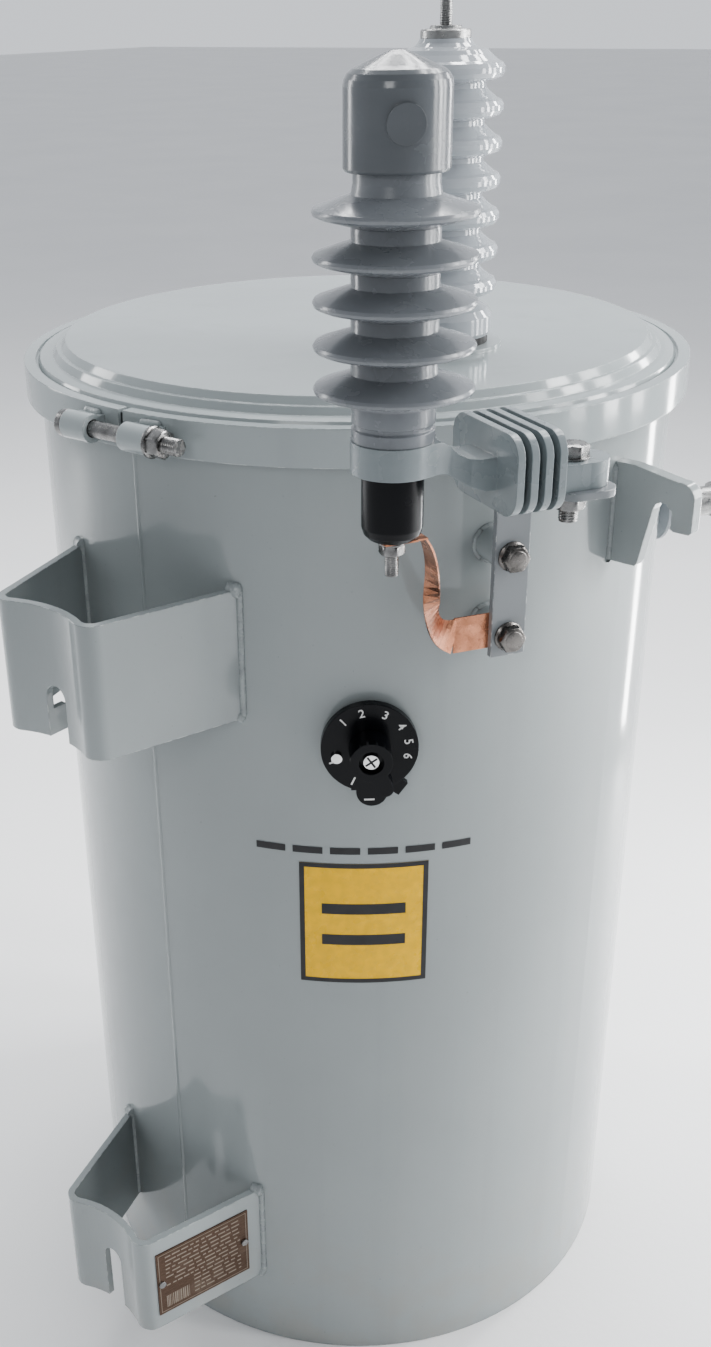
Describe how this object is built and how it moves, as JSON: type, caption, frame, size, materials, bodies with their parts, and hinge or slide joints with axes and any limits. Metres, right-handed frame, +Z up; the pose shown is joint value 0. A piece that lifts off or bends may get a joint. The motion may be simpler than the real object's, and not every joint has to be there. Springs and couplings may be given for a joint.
{
  "type": "pole mounted transformer",
  "caption": "Round steel tank with clamped cover, side hangers for a pole, porcelain line bushing, bracketed polymer arrester and a turning tap selector.",
  "frame": {"origin": "centre of the tank's flat bottom, on the ground", "axes": "+Z up along the tank's centre line; -Y is the pole side, where the two hangers are; +X passes through one lifting lug and the line bushing"},
  "size_m": [0.6839, 0.7714, 1.1714],
  "materials": {
    "tank_paint": "gloss grey paint",
    "cover_paint": "gloss light grey paint",
    "oil_fill": "stands for oil, core and windings",
    "gasket_rubber": "black rubber",
    "bright_steel": "stainless steel",
    "bolt_steel": "dull stainless steel",
    "bracket_steel": "grey coated steel",
    "etched_plate": "brown etched metal",
    "porcelain": "light grey glaze",
    "tinned_metal": "tinned",
    "cap_polymer": "grey moulded",
    "arrester_polymer": "grey silicone rubber",
    "arm_polymer": "grey moulded",
    "black_plastic": "black moulded",
    "copper": "bare copper",
    "chromed_screw": "polished",
    "lv_polymer": "grey moulded"
  },
  "bodies": {
    "transformer": {"tank_wall": "tank_paint", "tank_bottom": "tank_paint", "core_and_oil": "oil_fill", "vertical_seam": "tank_paint", "cover": "cover_paint", "cover_gasket": "gasket_rubber", "clamp_band": "cover_paint", "clamp_barrels": "cover_paint", "clamp_bolt": "bright_steel", "clamp_nut": "bright_steel", "upper_hanger": "tank_paint", "lower_hanger": "tank_paint", "nameplate": "etched_plate", "nameplate_rivets": "bright_steel", "lifting_lug_right": "tank_paint", "lifting_lug_left": "tank_paint", "hv_gasket": "gasket_rubber", "hv_bushing": "porcelain", "hv_terminal_cap": "tinned_metal", "hv_terminal_stud": "tinned_metal", "arrester_cap": "cap_polymer", "arrester_housing": "arrester_polymer", "arrester_arm": "arm_polymer", "ground_lead_disconnector": "black_plastic", "disconnector_stud": "bright_steel", "arrester_bracket": "bracket_steel", "bracket_bosses": "tank_paint", "bracket_bolts": "bolt_steel", "arrester_bolt": "bright_steel", "ground_strap": "copper", "tap_gasket": "gasket_rubber", "tap_dial": "black_plastic", "tap_lock_screw": "chromed_screw", "lv_gaskets": "gasket_rubber", "lv_bushing_left": "lv_polymer", "lv_bushing_centre": "lv_polymer", "lv_bushing_right": "lv_polymer", "lv_terminal_studs": "tinned_metal", "lv_connectors": "tinned_metal", "ground_pad": "bright_steel"},
    "tap_selector": {"tap_handle": "black_plastic", "tap_handle_screw": "chromed_screw"}
  },
  "joints": [
    {"name": "tap_selector_turn", "type": "hinge", "parent": "transformer", "child": "tap_selector", "pos_m": [0.18319, -0.21832, 0.66], "axis": [0.6428, -0.766, 0], "range_deg": [0, 240]}
  ]
}
